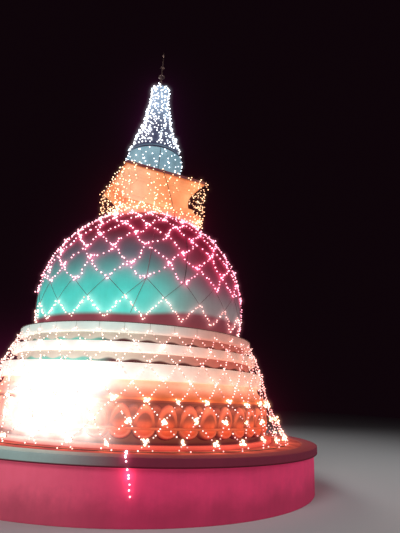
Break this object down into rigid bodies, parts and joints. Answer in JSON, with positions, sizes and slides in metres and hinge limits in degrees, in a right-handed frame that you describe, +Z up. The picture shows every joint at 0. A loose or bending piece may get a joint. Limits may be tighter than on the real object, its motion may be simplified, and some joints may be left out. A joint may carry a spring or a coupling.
{
  "type": "stupa",
  "caption": "Plastered stupa on a round plinth: lotus base, stepped rings, bubble dome, square hollow-sided harmika, swelling drum, ringed spire and metal pinnacle, with festival light strings.",
  "frame": {"origin": "centre of the plinth's underside, at ground level on the stupa's axis", "axes": "+Z up along the stupa's axis to the pinnacle; the square harmika's four faces look along +X, -X, +Y and -Y"},
  "size_m": [8.44, 8.44, 11.86],
  "materials": {
    "pink_wash": "limewashed plaster, pink",
    "grey_wash": "limewashed plaster, grey",
    "paving": "worn cement paving",
    "coral_wash": "limewashed plaster, coral",
    "orange_wash": "limewashed plaster, orange",
    "salmon_wash": "limewashed plaster, salmon",
    "white_wash": "limewashed plaster, cream white",
    "teal_wash": "limewashed plaster, teal",
    "apricot_wash": "limewashed plaster, apricot",
    "maroon_wash": "limewashed plaster, maroon",
    "blue_wash": "limewashed plaster, pale blue",
    "slate_wash": "limewashed plaster, slate",
    "aged_brass": "dulled",
    "warm_bulb": "lit, warm white",
    "amber_bulb": "lit, amber",
    "pink_bulb": "lit, pink",
    "ice_bulb": "lit, cold white",
    "light_wire": "thin dark insulated wire"
  },
  "bodies": {
    "root": {"plinth_wall": "pink_wash", "plinth_coping": "grey_wash", "terrace_paving": "paving", "lotus_foot_course": "coral_wash", "lower_lotus_petals": "coral_wash", "lotus_waist_band": "coral_wash", "upper_lotus_petals": "coral_wash", "bell_cove": "orange_wash", "ring_3_cornice": "white_wash", "ring_2_wall": "salmon_wash", "ring_2_cornice": "white_wash", "ring_1_wall": "salmon_wash", "ring_1_cornice": "white_wash", "dome": "teal_wash", "harmika_base_block": "apricot_wash", "harmika_lower_course": "apricot_wash", "harmika_hollow_body": "apricot_wash", "harmika_slab": "maroon_wash", "spire_drum": "blue_wash", "spire_neck_band": "slate_wash", "spire_ring_1": "blue_wash", "spire_ring_2": "blue_wash", "spire_ring_3": "blue_wash", "spire_ring_4": "blue_wash", "spire_ring_5": "blue_wash", "spire_ring_6": "blue_wash", "spire_ring_7": "blue_wash", "spire_ring_8": "blue_wash", "spire_ring_9": "blue_wash", "spire_ring_10": "blue_wash", "spire_cap": "blue_wash", "pinnacle_socket": "aged_brass", "pinnacle_stem": "aged_brass", "pinnacle_dish": "aged_brass", "pinnacle_lower_rod": "aged_brass", "pinnacle_ball": "aged_brass", "pinnacle_upper_rod": "aged_brass", "pinnacle_crystal": "aged_brass"}
  },
  "joints": []
}
